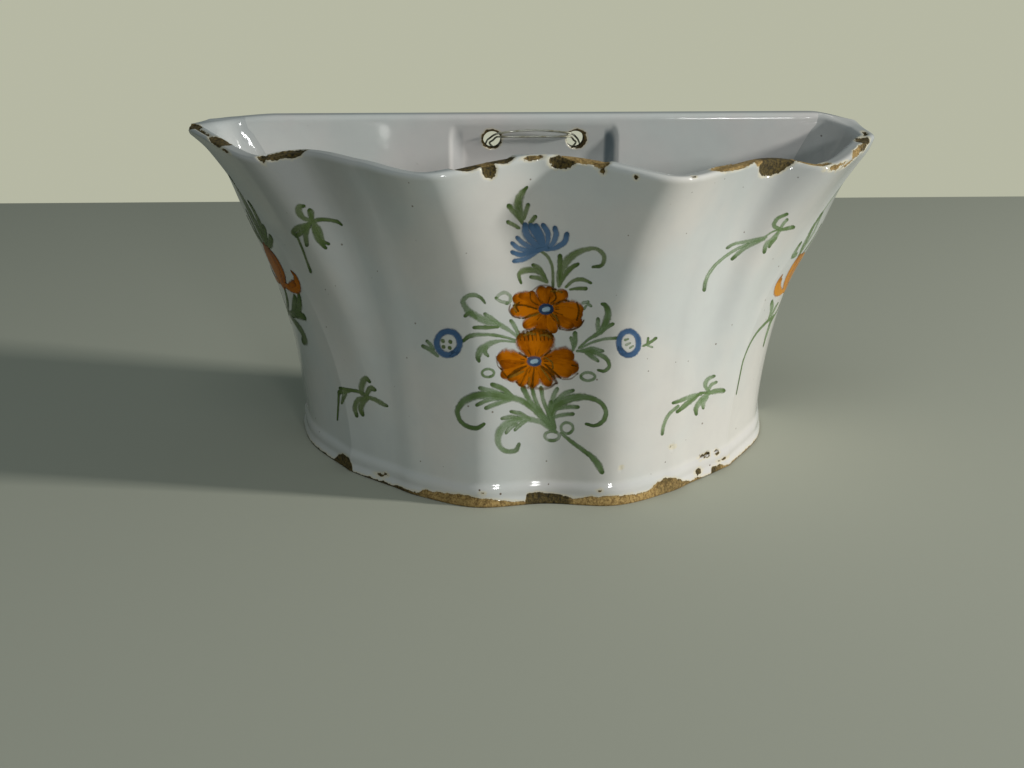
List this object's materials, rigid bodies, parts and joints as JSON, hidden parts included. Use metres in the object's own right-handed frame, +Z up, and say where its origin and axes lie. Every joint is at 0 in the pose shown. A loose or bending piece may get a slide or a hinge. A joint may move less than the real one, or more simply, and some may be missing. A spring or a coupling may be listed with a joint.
{
  "type": "wall flower holder",
  "caption": "Wall-hung earthenware flower holder with a waved rim, canted ends and a flat back with two holes for a hanging wire.",
  "frame": {"origin": "on the flat bottom of the foot, midway between the ends and midway in the foot's depth", "axes": "+X to the right seen from the front, +Y towards the wall, +Z up"},
  "size_m": [0.2425, 0.1135, 0.1165],
  "materials": {
    "front_glaze": "glossy white tin glaze with painted flower sprigs, chipped to ochre clay at the rim and foot",
    "back_glaze": "glossy white tin glaze",
    "base_glaze": "white tin glaze worn to ochre clay along the foot",
    "steel_wire": "dull grey drawn wire"
  },
  "bodies": {
    "pot": {"base_slab": "base_glaze", "back_plate": "back_glaze", "front_wall": "front_glaze"},
    "hanger": {"hanging_wire": "steel_wire"}
  },
  "joints": [
    {"name": "wire_swing", "type": "hinge", "parent": "pot", "child": "hanger", "pos_m": [0, 0.04406, 0.1072], "axis": [1, 0, 0], "range_deg": [0, 45]}
  ]
}
